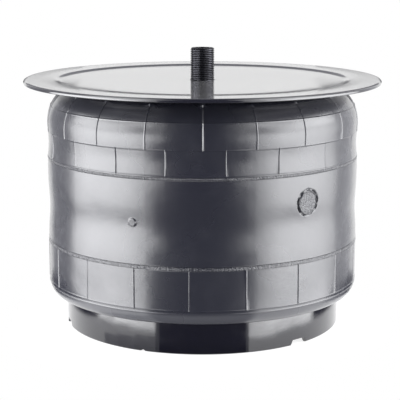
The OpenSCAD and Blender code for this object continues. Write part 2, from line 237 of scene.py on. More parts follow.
def floor_card(start, end, reach, shade):
    """Wedge on the floor that casts no shadow and gives no light back to dull surfaces."""
    turns = np.linspace(start, end, CARD_POINTS)
    low = round_axis(turns, CARD_NEAR, CARD_Z)
    beyond = round_axis(turns * CARD_SPREAD, reach, 0)
    high = [(x + dx, y + dy, z) for (x, y, z), (dx, dy, _) in zip(low, beyond)]
    card = screen_between("floor_card", low, high, shade)
    card.visible_shadow = False
    card.visible_diffuse = False


def seen_directly(tree):
    """1 for camera, glossy and transmission rays, which see the white background."""
    path = new_node(tree, "ShaderNodeLightPath")
    seen = path.outputs["Is Camera Ray"]
    for kind in ("Is Glossy Ray", "Is Transmission Ray"):
        either = new_node(tree, "ShaderNodeMath", {0: seen, 1: path.outputs[kind]})
        either.operation = "MAXIMUM"
        seen = either.outputs[0]
    return seen


def make_world():
    """White where it is seen or reflected, and a dim even light everywhere else."""
    world = bpy.data.worlds.new("studio")
    world.use_nodes = True
    tree = world.node_tree
    tree.nodes.clear()
    room, backdrop = (new_node(tree, "ShaderNodeBackground", {"Color": WHITE, "Strength": strength})
                      for strength in (AMBIENT, 1.0))
    mix = new_node(tree, "ShaderNodeMixShader",
                   {"Fac": seen_directly(tree), 1: room.outputs[0], 2: backdrop.outputs[0]})
    new_node(tree, "ShaderNodeOutputWorld", {"Surface": mix.outputs[0]})
    scene.world = world


def floor_material():
    """Grey that takes the shadow, lit up to white where it is seen, and clear past its edge."""
    material = bpy.data.materials.new("floor")
    material.use_nodes = True
    tree = material.node_tree
    tree.nodes.clear()
    grey = new_node(tree, "ShaderNodeBsdfDiffuse",
                    {"Color": (FLOOR_SHADE, FLOOR_SHADE, FLOOR_SHADE, 1)})
    strength = new_node(tree, "ShaderNodeMath", {0: seen_directly(tree), 1: FLOOR_GLOW})
    strength.operation = "MULTIPLY"
    glow = new_node(tree, "ShaderNodeEmission", {"Strength": strength.outputs[0]})
    lit = new_node(tree, "ShaderNodeAddShader", {0: grey.outputs[0], 1: glow.outputs[0]})
    clearness = new_node(tree, "ShaderNodeAttribute")
    clearness.attribute_name = "clearness"
    fade = new_node(tree, "ShaderNodeMapRange", {"Value": clearness.outputs["Fac"]})
    fade.interpolation_type = "SMOOTHSTEP"
    clear = new_node(tree, "ShaderNodeBsdfTransparent")
    mix = new_node(tree, "ShaderNodeMixShader",
                   {"Fac": fade.outputs["Result"], 1: lit.outputs[0], 2: clear.outputs[0]})
    new_node(tree, "ShaderNodeOutputMaterial", {"Surface": mix.outputs[0]})
    return material


def make_floor():
    """Pale floor that keeps the shadow and fades into the white background at its edge."""
    turns = np.arange(-180, 180, FLOOR_TURN)
    edge = np.interp(turns, *zip(*FLOOR_EDGE))
    around = np.stack([np.sin(np.radians(turns)), -np.cos(np.radians(turns)), 0 * turns], axis=-1)
    rings = [around * (edge + shift)[:, None] + (0, 0, FLOOR_Z)
             for shift in (-FLOOR_INSET, -FLOOR_FADE, FLOOR_FADE)]
    count = len(turns)
    mesh = bpy.data.meshes.new("floor")
    faces = [tuple(range(count)), *join_faces(len(rings), count, False)[:, ::-1].tolist()]
    mesh.from_pydata(np.concatenate(rings).tolist(), [], faces)
    clearness = mesh.attributes.new("clearness", "FLOAT", "POINT")
    clearness.data.foreach_set("value", np.repeat((0.0, 0.0, 1.0), count).astype(np.float32))
    mesh.materials.append(floor_material())
    floor = bpy.data.objects.new("floor", mesh)
    scene.collection.objects.link(floor)


def make_studio():
    """White background and floor, with the lamps and screens that the gloss reflects."""
    make_world()
    make_floor()
    for row in PANEL_ROWS:
        panel_row(*row)
    for panel in SOFTBOXES:
        softbox(*panel)
    for screen in FLAGS:
        flag(*screen)
    ceiling_flag()
    for card in FLOOR_CARDS:
        floor_card(*card)


# Materials

REST_PLACE = "rest_place"
RUBBER_BLACK = (0.025, 0.026, 0.038)
# Paler rubber for the dust marks, and for the painted light on the lower lobe
RUBBER_DUST_AND_PAINTED_LIGHT = (0.10, 0.102, 0.118)
# Gritty joins of the sleeve's mould: height and half width
GRITTY_JOINS = ((0.1427, 0.0013), (0.0727, 0.0019))
JOIN_CORE = 0.7
# First and last place of each fade: heights at which the lobe's painted light ends, a paler lower
# lobe that stands in for the floor's reflection; distances beside the middle at which the scuffed
# flanks begin; radii at which the date clock's face ends; and radii at which the thread's crests
# begin, which are paler partly from rubbing and partly as painted highlight
LOBE_PAINTED_LIGHT_HEIGHTS = (0.034, 0.0385)
FLANKS_BESIDE = (0.102, 0.118)
CLOCK_FACE_RADII = (0.0082, 0.0092)
CREST_PAINTED_LIGHT_RADII = (0.0094, 0.0099)


class Finish:
    """Node material round one principled shader, in object coordinates, which are metres.

    A piece that changes its shape keeps the rest place of each point, so its textures stay on it.
    """

    def __init__(self, name, color, shape_changes=False, **sockets):
        self.material = bpy.data.materials.new(name)
        self.material.use_nodes = True
        self.tree = self.material.node_tree
        self.shader = self.tree.nodes["Principled BSDF"]
        self.shader.inputs["Base Color"].default_value = (*color, 1)
        for socket, value in sockets.items():
            self.shader.inputs[socket.replace("_", " ")].default_value = value
        if shape_changes:
            place = self.node("ShaderNodeAttribute")
            place.attribute_name = REST_PLACE
            self.coords = place.outputs["Vector"]
        else:
            self.coords = self.node("ShaderNodeTexCoord").outputs["Object"]

    def node(self, kind, inputs=None):
        """New node of this material."""
        return new_node(self.tree, kind, inputs)

    def link(self, source, target):
        self.tree.links.new(source, target)

    def stretched(self, x, y, z):
        """Coordinates scaled along each axis, for grain that runs one way."""
        inputs = {"Scale": (x, y, z), "Vector": self.coords}
        return self.node("ShaderNodeMapping", inputs).outputs["Vector"]

    def noise(self, scale, detail, roughness, coords=None):
        """Cloudy pattern from 0 to 1, by its scale, number of octaves and their strength."""
        inputs = {"Scale": scale, "Detail": detail, "Roughness": roughness,
                  "Vector": coords or self.coords}
        return self.node("ShaderNodeTexNoise", inputs).outputs["Fac"]

    def cells(self, scale):
        """Distance from the middles of scattered cells."""
        inputs = {"Scale": scale, "Vector": self.coords}
        return self.node("ShaderNodeTexVoronoi", inputs).outputs["Distance"]

    def remap(self, value, low, high, to_low, to_high):
        """Number that goes smoothly from to_low to to_high as a value goes from low to high."""
        node = self.node("ShaderNodeMapRange", {"Value": value, "From Min": low, "From Max": high,
                                                "To Min": to_low, "To Max": to_high})
        node.interpolation_type = "SMOOTHSTEP"
        return node.outputs["Result"]

    def math(self, operation, *values):
        """Result of one operation on numbers or sockets."""
        node = self.node("ShaderNodeMath", dict(enumerate(values)))
        node.operation = operation
        return node.outputs[0]

    def axis(self, name):
        """Coordinate along X, Y or Z."""
        return self.node("ShaderNodeSeparateXYZ", {0: self.coords}).outputs[name]

    def from_axis(self):
        """Distance from the upright axis through the origin."""
        node = self.node("ShaderNodeVectorMath", {0: self.stretched(1, 1, 0)})
        node.operation = "LENGTH"
        return node.outputs["Value"]

    def distance_from(self, point):
        node = self.node("ShaderNodeVectorMath", {0: self.coords, 1: point})
        node.operation = "DISTANCE"
        return node.outputs["Value"]

    def blend_color(self, factor, first, second):
        """Base colour that goes from the first colour to the second with the factor."""
        node = self.node("ShaderNodeMix")
        node.data_type = "RGBA"
        node.inputs["A"].default_value = (*first, 1)
        node.inputs["B"].default_value = (*second, 1)
        self.link(factor, node.inputs["Factor"])
        self.link(node.outputs["Result"], self.shader.inputs["Base Color"])

    def rough(self, value):
        self.link(value, self.shader.inputs["Roughness"])

    def bump(self, *layers):
        """Chain of bumps, each (height, distance)."""
        normal = None
        for height, distance in layers:
            inputs = {"Strength": 1.0, "Distance": distance, "Height": height}
            if normal:
                inputs["Normal"] = normal
            normal = self.node("ShaderNodeBump", inputs).outputs["Normal"]
        self.link(normal, self.shader.inputs["Normal"])
        self.link(normal, self.shader.inputs["Coat Normal"])


def sleeve_rubber():
    """Moulded rubber: dark, shiny from the mould, with faint bloom, grit at the joins and a paler
    lower lobe of painted reflection.
    """
    finish = Finish("sleeve_rubber", RUBBER_BLACK, shape_changes=True, Specular_IOR_Level=0.9,
                    Coat_Weight=1.0, Coat_Roughness=0.2, Coat_IOR=1.5)
    cloudy = finish.noise(45, 4, 0.6)
    fine = finish.noise(700, 3, 0.6)
    streaks = finish.noise(60, 3, 0.5, finish.stretched(1, 1, 0.12))
    smears = finish.noise(18, 3, 0.5)
    grit = finish.noise(650, 2, 0.7)
    height = finish.axis("Z")
    finish.rough(finish.remap(smears, 0.35, 0.75, 0.26, 0.32))

    clock_r = float(wall_r(CLOCK_Z))
    clock_at = round_axis([CLOCK_TURN], clock_r * MM, CLOCK_Z * MM)[0]
    clock_face = finish.remap(finish.distance_from(clock_at), *CLOCK_FACE_RADII, 1, 0)
    gritty = clock_face
    for middle, half_width in GRITTY_JOINS:
        away = finish.math("ABSOLUTE", finish.math("SUBTRACT", height, middle))
        join = finish.remap(away, half_width * JOIN_CORE, half_width, 1, 0)
        gritty = finish.math("MAXIMUM", gritty, join)
    gritty = finish.math("MULTIPLY", grit, gritty)

    beside = finish.math("ABSOLUTE", finish.axis("X"))
    flanks = finish.remap(beside, *FLANKS_BESIDE, 0, 0.6)
    # Paler marks: faint mottled bloom, a painted paler lower lobe that stands in for the floor's
    # reflection, scuffs on the flanks, and paler grain on the date clock's face
    marks = (
        finish.remap(cloudy, 0.45, 0.7, 0, 0.12),
        finish.remap(height, *LOBE_PAINTED_LIGHT_HEIGHTS, 1, 0),
        finish.math("MULTIPLY", finish.remap(finish.noise(150, 6, 0.75), 0.46, 0.62, 0, 1), flanks),
        finish.math("MULTIPLY", finish.remap(grit, 0.48, 0.6, 0, 1.5), clock_face),
    )
    paler_marks = marks[0]
    for mark in marks[1:]:
        paler_marks = finish.math("MAXIMUM", paler_marks, mark)
    finish.blend_color(paler_marks, RUBBER_BLACK, RUBBER_DUST_AND_PAINTED_LIGHT)
    finish.bump((cloudy, 0.00018), (streaks, 0.00004), (fine, 0.00003), (gritty, 0.0009))
    return finish.material


def gloss_paint(name, color, roughness, haze, coat_ior, sag_height, peel_height, wear, bloom):
    """Black enamel with faint orange peel, thin spots and fine wipe marks; wear 1 is the most."""
    finish = Finish(name, color, Specular_IOR_Level=0.9, Coat_Weight=1.0, Coat_Roughness=haze,
                    Coat_IOR=coat_ior, Sheen_Weight=bloom, Sheen_Roughness=0.3)
    peel = finish.noise(420, 2, 0.5)
    sag = finish.noise(22, 2, 0.5)
    paler_marks = finish.noise(900, 4, 0.7)
    wiped = finish.noise(140, 3, 0.6, finish.stretched(1, 0.2, 1))
    worn = tuple(c * 1.8 + 0.006 for c in color)
    finish.blend_color(finish.remap(paler_marks, 0.6, 0.8, 0, wear), color, worn)
    finish.rough(finish.remap(wiped, 0.35, 0.75, roughness, roughness + 0.1 * wear))
    finish.bump((sag, sag_height), (peel, peel_height))
    return finish.material


def phosphate():
    """Dull black conversion coat on the stud, paler from the thread's crests outwards, partly
    rubbed and partly painted highlight, and darker in the grooves with painted shade.
    """
    finish = Finish("black_phosphate", (0.05, 0.05, 0.055), Metallic=0.7, Specular_IOR_Level=0.6)
    grain = finish.noise(1800, 3, 0.6)
    rubbed = finish.remap(finish.noise(90, 2, 0.5), 0.3, 0.7, 0.45, 1)
    crest = finish.remap(finish.from_axis(), *CREST_PAINTED_LIGHT_RADII, 0, 1)
    rubbed_and_painted_highlight = finish.math("MULTIPLY", crest, rubbed)
    # Painted highlight on the crests and painted shade in the grooves, mixed with the crests'
    # rubbing
    finish.blend_color(rubbed_and_painted_highlight, (0.008, 0.008, 0.011), (0.09, 0.09, 0.105))
    finish.rough(finish.remap(rubbed, 0.4, 1.0, 0.32, 0.24))
    finish.bump((grain, 0.00001))
    return finish.material


def bare_steel(name, color, roughness, brushed):
    """Bare steel with drawing or turning marks round its axis and a little stain."""
    finish = Finish(name, color, Metallic=1.0)
    stain = finish.noise(60, 5, 0.65)
    marks = finish.noise(350, 3, 0.6, finish.stretched(1, 1, brushed))
    darker = tuple(c * 0.62 for c in color)
    finish.blend_color(finish.remap(stain, 0.5, 0.75, 0, 1), color, darker)
    finish.rough(finish.remap(marks, 0.3, 0.7, roughness, roughness + 0.16))
    finish.bump((marks, 0.00003))
    return finish.material


def dull_rubber(name, color, roughness):
    """Moulded rubber without shine: fine pores and a dusty bloom."""
    finish = Finish(name, color, Specular_IOR_Level=0.4)
    bloom = finish.noise(90, 4, 0.6)
    pores = finish.cells(900)
    dusty = tuple(c * 1.7 + 0.006 for c in color)
    finish.blend_color(finish.remap(bloom, 0.45, 0.75, 0, 1), color, dusty)
    finish.rough(finish.remap(bloom, 0.3, 0.7, roughness, roughness + 0.15))
    finish.bump((pores, 0.00006))
    return finish.material


def zinc_plating():
    """Bright zinc with a faint crystalline pattern."""
    finish = Finish("zinc_plate", (0.62, 0.63, 0.62), Metallic=1.0)
    crystals = finish.cells(420)
    stain = finish.noise(120, 4, 0.6)
    stained = finish.remap(stain, 0.45, 0.7, 0, 1)
    finish.blend_color(stained, (0.66, 0.67, 0.66), (0.50, 0.50, 0.47))
    finish.rough(finish.remap(crystals, 0, 0.6, 0.24, 0.4))
    finish.bump((crystals, 0.00003))
    return finish.material


# Meshes turned round the axis

SHARP_ANGLE = 42


def join_faces(rows, columns, closed_rows):
    """Quads of a grid whose columns go right round; its rows close too if asked."""
    spans = rows if closed_rows else rows - 1
    row = np.arange(spans)[:, None]
    column = np.arange(columns)[None, :]
    below = (row + 1) % rows
    beside = (column + 1) % columns
    quads = np.stack([row * columns + column, row * columns + beside,
                      below * columns + beside, below * columns + column], axis=-1)
    return quads.reshape(-1, 4)


def make_piece(name, points, faces, material):
    """Smooth mesh object from millimetre points, each of which keeps its place at rest."""
    places = points * MM
    mesh = bpy.data.meshes.new(name)
    mesh.from_pydata(places.tolist(), [], faces.tolist())
    mesh.update()
    mesh.polygons.foreach_set("use_smooth", [True] * len(mesh.polygons))
    mesh.set_sharp_from_angle(angle=math.radians(SHARP_ANGLE))
    mesh.materials.append(material)
    rest = mesh.attributes.new(REST_PLACE, "FLOAT_VECTOR", "POINT")
    rest.data.foreach_set("vector", places.astype(np.float32).ravel())
    piece = bpy.data.objects.new(name, mesh)
    scene.collection.objects.link(piece)
    return piece


def turned_points(radius, height, azimuths):
    """Points at each radius and height (rows) and azimuth (columns), front at azimuth 0."""
    turns = np.radians(azimuths)[None, :]
    radius = np.broadcast_to(radius, (radius.shape[0], turns.shape[1]))
    height = np.broadcast_to(height, radius.shape)
    points = np.stack([radius * np.sin(turns), -radius * np.cos(turns), height], axis=-1)
    return points.reshape(-1, 3)


def turned(name, loop, material, azimuths, lift=None):
    """Closed ring turned from a loop of (r, z); lift moves heights by azimuth, for cuts in a rim.

    The loop runs so that the solid is on its left, seen with r to the right and z up.
    """
    loop = np.array(loop, float)
    radius = loop[:, :1]
    height = loop[:, 1:]
    if lift is not None:
        height = lift(height, azimuths)
    points = turned_points(radius, height, azimuths)
    faces = join_faces(len(loop), len(azimuths), True)[:, ::-1]
    return make_piece(name, points, faces, material)


def arc(r, z, a, b, start, end, count):
    """Points along an ellipse's arc between two angles in degrees."""
    turns = np.radians(np.linspace(start, end, count + 1))
    return [(r + a * math.cos(t), z + b * math.sin(t)) for t in turns]


def smooth_step(value):
    """0 up to a value of 0, 1 from a value of 1, and smooth between."""
    value = np.clip(value, 0, 1)
    return value * value * (3 - 2 * value)


def bump_shape(offset):
    """Round-topped ridge, 1 at its middle and 0 from an offset of 1."""
    return np.clip(1 - np.square(offset), 0, 1) ** 1.5


def away_from(azimuths, middle):
    """Signed distance in degrees from one azimuth, the short way round."""
    return np.mod(azimuths - middle + FULL_TURN / 2, FULL_TURN) - FULL_TURN / 2


def along_circle(azimuths, middle, radius):
    """Signed length from one azimuth along a circle, the short way round."""
    return away_from(azimuths, middle) * math.pi / 180 * radius


def thinned(values, gap):
    """Sorted values without those that follow the last kept one by no more than a gap."""
    values = np.sort(values)
    kept = [values[0]]
    for value in values[1:]:
        if value - kept[-1] > gap:
            kept.append(value)
    return np.array(kept)


# Bellows sleeve

SLEEVE_T = 3.2
SHOULDER_Z = 172.0
SHOULDER_CROWN_R = 104.0
BEAD_TOP_Z = 201.7
# Shallow hollows in the wall: height, depth, and width above and below
NECK = (155.0, 1.1, 11.0, 11.0)
WAIST = (101.5, 1.25, 15.0, 13.5)
LOBE_Z = node_size("bellows_sleeve")[1]
LOBE_H = 11.6
LOBE_W = 14.2
LEG_R = node_size("piston_shell")[0] + 0.3
SLEEVE_R = LEG_R + LOBE_W
LOBE_MID_Z = LOBE_Z + LOBE_H
LOBE_R = LEG_R + LOBE_W / 2
LEG_MID_Z = 60
LEG_TOP_Z = 86.0
# Outlines of the beads over their wires, from the sleeve's inside: (radius, height)
UPPER_BEAD = ((107.5, 190.9), (103.8, 186.9), (99.3, 186.9), (96.0, 190.1), (96.0, 200.2),
              (97.5, BEAD_TOP_Z))
LOWER_BEAD = ((92.5, 103.5), (91.5, 110.7), (88.5, 113.7), (82.3, 113.7), (80.3, 111.7),
              (80.3, 100.3))
LOWER_BEND_R = 14.3

# Moulded rings: height, how far it stands proud and half its width
RINGS = ((185.5, 0.30, 0.6), (165.0, 0.26, 0.5), (145.2, 0.14, 0.5), (142.6, 0.34, 0.7),
         (74.4, 0.20, 0.45), (71.8, 0.26, 0.6), (39.4, 0.24, 0.5), (36.7, 0.24, 0.5))
# Rows of upright mould lines, called ribs: lowest and highest height, share of the ribs' height,
# and the azimuths seen from the front. The last row is the faint one on the lobe.
RIB_ROWS = (
    (165.0, 199.0, 1, (-57.6, -39.0, -19.8, 0.1, 18.6, 37.6, 58.9)),
    (145.2, 165.0, 1, (-70.0, -51.0, -31.0, -12.6, 7.8, 26.9, 47.9, 69.4)),
    (39.4, 71.6, 1, (-64.7, -44.3, -24.2, -4.5, 15.0, 35.1, 55.3, 75.0)),
    (28.5, 36.7, 0.55, (-63.9, -43.4, -23.6, -3.7, 15.6, 35.9, 56.2, 76.0)),
)
RIBS_IN_ROW = 18
RIB_HALF_W = 0.56
RIB_H = 0.36
RIB_OVERRUN = 0.6
RIB_FADE = 0.8
NUB_Z = 197.6
NUB_R = 119
PIP_TURN, PIP_Z, PIP_R, PIP_H = -24.7, 107.3, 3.5, 0.85
CLOCK_TURN, CLOCK_Z, CLOCK_R = 39.2, 119.6, 9.9
CLOCK_RIM_H = 0.75
CLOCK_MOAT_H = 2.0
# Slow unevenness of the skin: waves round the sleeve and their height
WAVES = ((3, 0.020), (7, 0.035), (11, 0.05), (17, 0.03))
# The sleeve's mesh: columns in degrees from a rib's middle, rows in half widths from a ring's
# middle, and the least gap that is kept between two columns and between two rows
RIB_COLUMNS = (-0.36, -0.24, -0.12, 0, 0.12, 0.24, 0.36)
RING_ROWS = (-1.5, -1, -0.7, -0.35, 0, 0.35, 0.7, 1, 1.5)
COLUMN_GAP = 0.07
ROW_GAP = 0.16


def wall_r(z):
    """Outer radius of the wall at a height, with its neck and waist."""
    radius = SLEEVE_R + 0 * z
    for middle, depth, above, below in (NECK, WAIST):
        width = np.where(z > middle, above, below)
        radius = radius - depth * np.exp(-np.square((z - middle) / width))
    return radius


def all_round(front):
    """Azimuths of a whole row of ribs: those seen from the front, and evenly spaced ones behind."""
    left_over = RIBS_IN_ROW - len(front)
    gap = FULL_TURN - (front[-1] - front[0])
    behind = [front[-1] + gap * (i + 1) / (left_over + 1) for i in range(left_over)]
    return list(front) + behind


def sleeve_azimuths():
    """Columns of the sleeve's mesh: closer together at ribs, at the pip and at the date clock."""
    turns = list(np.arange(0, FULL_TURN, 1.5))
    for *_, front in RIB_ROWS[:-1]:
        for middle in all_round(front):
            turns += [middle + offset for offset in RIB_COLUMNS]
    turns += list(np.arange(PIP_TURN - 1.9, PIP_TURN + 1.9, 0.2))
    turns += list(np.arange(CLOCK_TURN - 5.75, CLOCK_TURN + 5.8, 0.25))
    return thinned(np.mod(turns, FULL_TURN), COLUMN_GAP)


def sleeve_heights():
    """Rows of the sleeve's outer surface, from the shoulder's crown down to the lobe's bottom."""
    crown = np.sin(np.radians(np.arange(2, 88, 2.5)))
    lobe = np.sin(np.radians(np.arange(5, 90, 5)))
    rows = [BEAD_TOP_Z - 0.02]
    rows += list(SHOULDER_Z + (BEAD_TOP_Z - SHOULDER_Z) * crown)
    rows += list(np.arange(LOBE_MID_Z, SHOULDER_Z, 2.5))
    rows += list(LOBE_MID_Z - LOBE_H * lobe)
    for middle, _, half_w in RINGS:
        rows += [middle + half_w * share for share in RING_ROWS]
    rows += list(np.arange(PIP_Z - 4, PIP_Z + 4.2, 0.45))
    rows += list(np.arange(CLOCK_Z - 12.1, CLOCK_Z + 12.2, 0.55))
    rows += list(np.arange(NUB_Z - 2, NUB_Z + 2.2, 0.4))
    return -thinned(-np.array(rows), ROW_GAP)


def sleeve_radius(z):
    """Outer radius of the smooth sleeve at each height, from the shoulder to the lobe's bottom."""
    shoulder_a = wall_r(SHOULDER_Z) - SHOULDER_CROWN_R
    up = np.clip((z - SHOULDER_Z) / (BEAD_TOP_Z - SHOULDER_Z), 0, 1)
    down = np.clip((LOBE_MID_Z - z) / LOBE_H, 0, 1)
    shoulder = SHOULDER_CROWN_R + shoulder_a * np.sqrt(1 - up * up)
    lobe = LOBE_R + LOBE_W / 2 * np.sqrt(1 - down * down)
    return np.where(z > SHOULDER_Z, shoulder, np.where(z < LOBE_MID_Z, lobe, wall_r(z)))


def add_waves(relief, height, around, rng):
    """Slow unevenness, so that the reflections waver as they do on moulded rubber."""
    for count, amount in WAVES:
        phase = rng.uniform(0, 6.28, 2)
        round_it = np.sin(np.radians(around) * count + phase[0] + height * 0.035 * count / 7)
        up_it = np.sin(height * 0.05 * count / 5 + phase[1])
        relief += amount * round_it * up_it


def add_rings(relief, height, around):
    """Moulded rings, which stand proud a little unevenly."""
    for middle, proud, half_w in RINGS:
        slow = np.sin(np.radians(around) * 9 + middle)
        uneven = 1 + 0.18 * slow * np.sin(np.radians(around) * 23)
        relief += proud * uneven * bump_shape((height - middle) / half_w)


def add_ribs(relief, height, around, rng):
    """Upright mould lines, each with a slight lean and a height of its own."""
    for low, high, strength, front in RIB_ROWS:
        for middle in all_round(front):
            lean = rng.uniform(-0.15, 0.15)
            proud = RIB_H * rng.uniform(0.75, 1.25) * strength
            way_up = (height - low) / (high - low)
            offset = along_circle(around, middle + lean * (way_up - 0.5), SLEEVE_R)
            ends = (smooth_step((height - low + RIB_OVERRUN) / RIB_FADE)
                    * smooth_step((high - height + RIB_OVERRUN) / RIB_FADE))
            relief += proud * bump_shape(offset / RIB_HALF_W) * ends


def add_nubs(relief, height, around, rng):
    """Small knobs of rubber of uneven size, one on each of the uppermost ribs."""
    for middle in all_round(RIB_ROWS[0][-1]):
        across = along_circle(around, middle + rng.uniform(-0.4, 0.4), NUB_R)
        half_w = rng.uniform(1.8, 2.8)
        half_h = rng.uniform(1.0, 1.5)
        proud = rng.uniform(1.0, 1.7)
        relief += proud * (bump_shape(across / half_w) * bump_shape((height - NUB_Z) / half_h))


def add_pip(relief, height, around):
    """Small round pip with a flat top."""
    across = along_circle(around, PIP_TURN, SLEEVE_R)
    distance = np.hypot(across, height - PIP_Z)
    relief += PIP_H * smooth_step((PIP_R + 0.1 - distance) / 0.7)


def add_clock(relief, height, around, rng):
    """Round date clock: a ragged rim in a ragged moat, and a grainy face without figures."""
    across = along_circle(around, CLOCK_TURN, SLEEVE_R)
    distance = np.hypot(across, height - CLOCK_Z)
    turn = np.arctan2(height - CLOCK_Z, across)
    rim = CLOCK_RIM_H * (0.75 + 0.25 * np.sin(5 * turn + 1) + 0.2 * np.sin(11 * turn))
    relief += rim * bump_shape((distance - CLOCK_R + 0.9) / 0.9)
    moat = 0.5 + 0.35 * np.sin(2 * turn + 1.05) + 0.4 * np.sin(9 * turn)
    relief -= CLOCK_MOAT_H * np.clip(moat, 0.1, 1.1) * bump_shape(distance - CLOCK_R - 0.35)
    grains = rng.uniform(0, 1, relief.shape)
    relief += (0.2 + 0.1 * grains) * smooth_step((CLOCK_R - 1.6 - distance) / 0.6)


def sleeve_relief(z, azimuths):
    """How far the moulded details stand proud of the smooth sleeve, by heights and azimuths."""
    rng = np.random.default_rng(11)
    height = z[:, None]
    around = azimuths[None, :]
    relief = np.zeros((len(z), len(azimuths)))
    add_waves(relief, height, around, rng)
    add_rings(relief, height, around)
    add_ribs(relief, height, around, rng)
    add_nubs(relief, height, around, rng)
    add_pip(relief, height, around)
    add_clock(relief, height, around, rng)
    return relief


def sleeve_inside():
    """Section inside the outer skin: up the leg on the piston, down it, and up to the bead."""
    shoulder_a = float(wall_r(SHOULDER_Z)) - SHOULDER_CROWN_R
    leg_inner_r = LEG_R + SLEEVE_T
    wall_heights = np.arange(45, SHOULDER_Z, 9.0)
    section = [(LOBE_R, LOBE_Z)]
    section += arc(LOBE_R, LOBE_MID_Z, LOBE_W / 2, LOBE_H, -96, -180, 12)
    section += [(LEG_R, LEG_MID_Z), (LEG_R, LEG_TOP_Z), (leg_inner_r, LEG_TOP_Z),
                (leg_inner_r, LEG_MID_Z)]
    section += arc(LOBE_R, LOBE_MID_Z, LOBE_W / 2 - SLEEVE_T, LOBE_H - SLEEVE_T, 180, 360, 16)
    section += [(float(wall_r(h)) - SLEEVE_T, h) for h in wall_heights]
    section += arc(SHOULDER_CROWN_R, SHOULDER_Z, shoulder_a - SLEEVE_T,
                   BEAD_TOP_Z - SHOULDER_Z - SLEEVE_T, 0, 78, 10)
    section += UPPER_BEAD
    return np.array(section)


def make_sleeve(material):
    """Shoulder, wall and lobe as one closed skin, with the leg that lies on the piston at rest."""
    z = sleeve_heights()
    azimuths = sleeve_azimuths()
    radius = sleeve_radius(z)
    slope_r = np.gradient(radius, edge_order=2)
    slope_z = np.gradient(z, edge_order=2)
    length = np.hypot(slope_r, slope_z)
    fade = smooth_step((BEAD_TOP_Z - z) / 1.5)[:, None] * smooth_step(z - LOBE_Z)[:, None]
    relief = sleeve_relief(z, azimuths) * fade
    outer_r = radius[:, None] - relief * (slope_z / length)[:, None]
    outer_z = z[:, None] + relief * (slope_r / length)[:, None]
    inside = sleeve_inside()
    columns = len(azimuths)
    all_r = np.vstack([outer_r, np.repeat(inside[:, :1], columns, axis=1)])
    all_z = np.vstack([outer_z, np.repeat(inside[:, 1:], columns, axis=1)])
    points = turned_points(all_r, all_z, azimuths)
    sleeve = make_piece("sleeve", points, join_faces(len(all_r), columns, True), material)
    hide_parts("bellows_sleeve")
    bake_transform(sleeve)


def make_lower_bead(material):
    """The sleeve's end over the piston's shoulder, which stays on the piston."""
    middle = (LEG_R - LOWER_BEND_R, LEG_TOP_Z)
    loop = arc(*middle, LOWER_BEND_R + SLEEVE_T, LOWER_BEND_R + SLEEVE_T, 4, 90, 14)
    loop += LOWER_BEAD
    loop += arc(*middle, LOWER_BEND_R, LOWER_BEND_R, 90, 4, 14)
    bead = turned("sleeve_lower_bead", loop, material, np.arange(0, FULL_TURN, 2.0))
    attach(bead, "piston_group")
    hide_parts("bellows_sleeve")


# Flange plate

SHEET = 3.0
STUD_HOLE_R = 10.65
# Rows of the plate's mesh: the flat disc's, and those over the step, which are closer together
DISC_ROWS = (STUD_HOLE_R, 12.0, 40.0, 80.0, 95.5)
STEP_ROWS = (*np.arange(96, 116, 2.0), *np.arange(116, 126, 0.75), *np.arange(126, 139, 2.0))
RING_INNER_R = 139.0
ROLL_W, ROLL_H = 2.6, 1.8
EDGE_ROUND = 0.5
# Rise over run by radius, from the flat disc over the step and the crown to the flat ring
PLATE_SLOPE = ((96, 0), (117, 0.055), (121.5, 0.33), (124.5, 0.04), (138, 0))


def make_plate(material):
    """Pressed plate: flat disc, rising step, gentle crown, ring and rolled edge."""
    edge_r, under_z, ring_z = node_size("top_plate")
    disc_z = under_z + SHEET
    slope = np.interp(STEP_ROWS, *zip(*PLATE_SLOPE))
    rises = np.diff(STEP_ROWS) * (slope[1:] + slope[:-1]) / 2
    risen = np.concatenate([[0], np.cumsum(rises)])
    way_up = risen / risen[-1]
    top = [(r, disc_z) for r in DISC_ROWS]
    top += [(r, disc_z + (ring_z - disc_z) * share) for r, share in zip(STEP_ROWS, way_up)]
    under = [(r, h - SHEET) for r, h in reversed(top)]
    edge = [(RING_INNER_R, ring_z), (edge_r - ROLL_W - 0.5, ring_z)]
    edge += arc(edge_r - ROLL_W, ring_z - ROLL_H, ROLL_W, ROLL_H, 90, 4, 16)
    edge += arc(edge_r - EDGE_ROUND, ring_z - SHEET + EDGE_ROUND, EDGE_ROUND, EDGE_ROUND, 0, -90, 4)
    edge += [(edge_r - 8, ring_z - SHEET), (RING_INNER_R, ring_z - SHEET)]
    azimuths = np.arange(0, FULL_TURN, 1.25)
    plate = turned("flange_plate", top + edge + under, material, azimuths)
    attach(plate, "plate_group")
    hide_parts("top_plate")


# Stud

CREST_R = 10.0
STUD_SHOULDER_R = 10.6
PORT_R = 5.25
PORT_DEPTH = 15.0
PASSAGE_R = 3.5
HEAD_H = 5.0
THREAD_START_Z = 205.0
PITCH = 1.5
# The groove's depth as a share of the pitch, and where its flank ends and how long the flank is
# as shares of the way from the groove's middle to the crest's
GROOVE_DEPTH = 0.58
GROOVE_EDGE = 0.66
GROOVE_FLANK = 0.54


def thread_depth(z):
    """Depth of a metric thread's groove below the crest at a height, with the standard's flats."""
    phase = np.mod((z - THREAD_START_Z) / PITCH, 1)
    ramp = np.abs(phase - 0.5) * 2
    return PITCH * GROOVE_DEPTH * np.clip((GROOVE_EDGE - ramp) / GROOVE_FLANK, 0, 1)


